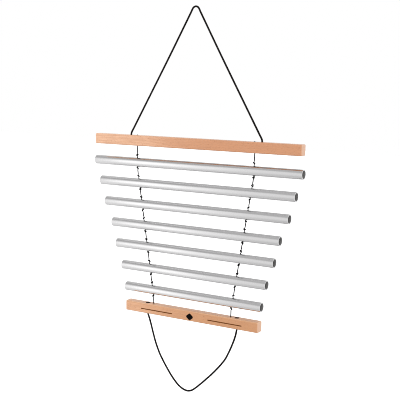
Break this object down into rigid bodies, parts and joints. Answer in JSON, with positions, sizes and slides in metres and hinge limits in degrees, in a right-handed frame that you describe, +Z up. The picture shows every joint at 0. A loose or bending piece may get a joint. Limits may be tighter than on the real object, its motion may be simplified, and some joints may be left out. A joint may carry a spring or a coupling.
{
  "type": "bar chime",
  "caption": "Hanging bar chime: open aluminium tubes of falling length strung on two knotted strings between two beech bars, with a hanger cord above and a pull loop below.",
  "frame": {"origin": "inside of the bend at the top of the hanger cord, where a hook carries the chime", "axes": "+Z up, +X along the bars and tubes to the right, +Y to the back"},
  "size_m": [0.4, 0.016, 0.6577],
  "materials": {
    "beech": "sanded and oiled, eased edges",
    "tube": "satin drawn tube",
    "string": "twisted thin cord",
    "cord": "round braided cord"
  },
  "bodies": {
    "hanger": {"hanger_cord": "cord"},
    "top": {"top_bar": "beech", "left_string_anchor": "string", "right_string_anchor": "string", "left_hanger_knot": "cord", "right_hanger_knot": "cord"},
    "chime_1": {"tube_1": "tube", "left_string_1": "string", "right_string_1": "string"},
    "chime_2": {"tube_2": "tube", "left_string_2": "string", "right_string_2": "string"},
    "chime_3": {"tube_3": "tube", "left_string_3": "string", "right_string_3": "string"},
    "chime_4": {"tube_4": "tube", "left_string_4": "string", "right_string_4": "string"},
    "chime_5": {"tube_5": "tube", "left_string_5": "string", "right_string_5": "string"},
    "chime_6": {"tube_6": "tube", "left_string_6": "string", "right_string_6": "string"},
    "chime_7": {"tube_7": "tube", "left_string_7": "string", "right_string_7": "string"},
    "bottom": {"bottom_bar": "beech", "left_string_8": "string", "right_string_8": "string", "left_loop_knot": "cord", "right_loop_knot": "cord"},
    "loop": {"pull_loop": "cord"}
  },
  "joints": [
    {"name": "top_bar_swing", "type": "hinge", "parent": "hanger", "child": "top", "pos_m": [0, 0, -0.2116], "axis": [1, 0, 0], "range_deg": [-60, 60]},
    {"name": "tube_1_swing", "type": "hinge", "parent": "top", "child": "chime_1", "pos_m": [0, 0, -0.2327], "axis": [1, 0, 0], "range_deg": [-20, 20]},
    {"name": "tube_2_swing", "type": "hinge", "parent": "chime_1", "child": "chime_2", "pos_m": [0, 0, -0.2741], "axis": [1, 0, 0], "range_deg": [-20, 20]},
    {"name": "tube_3_swing", "type": "hinge", "parent": "chime_2", "child": "chime_3", "pos_m": [0, 0, -0.3103], "axis": [1, 0, 0], "range_deg": [-20, 20]},
    {"name": "tube_4_swing", "type": "hinge", "parent": "chime_3", "child": "chime_4", "pos_m": [0, 0, -0.3467], "axis": [1, 0, 0], "range_deg": [-20, 20]},
    {"name": "tube_5_swing", "type": "hinge", "parent": "chime_4", "child": "chime_5", "pos_m": [0, 0, -0.3835], "axis": [1, 0, 0], "range_deg": [-20, 20]},
    {"name": "tube_6_swing", "type": "hinge", "parent": "chime_5", "child": "chime_6", "pos_m": [0, 0, -0.4205], "axis": [1, 0, 0], "range_deg": [-20, 20]},
    {"name": "tube_7_swing", "type": "hinge", "parent": "chime_6", "child": "chime_7", "pos_m": [0, 0, -0.4587], "axis": [1, 0, 0], "range_deg": [-20, 20]},
    {"name": "bottom_bar_swing", "type": "hinge", "parent": "chime_7", "child": "bottom", "pos_m": [0, 0, -0.4966], "axis": [1, 0, 0], "range_deg": [-20, 20]},
    {"name": "loop_swing", "type": "hinge", "parent": "bottom", "child": "loop", "pos_m": [0, 0, -0.5274], "axis": [1, 0, 0], "range_deg": [-75, 75]}
  ]
}
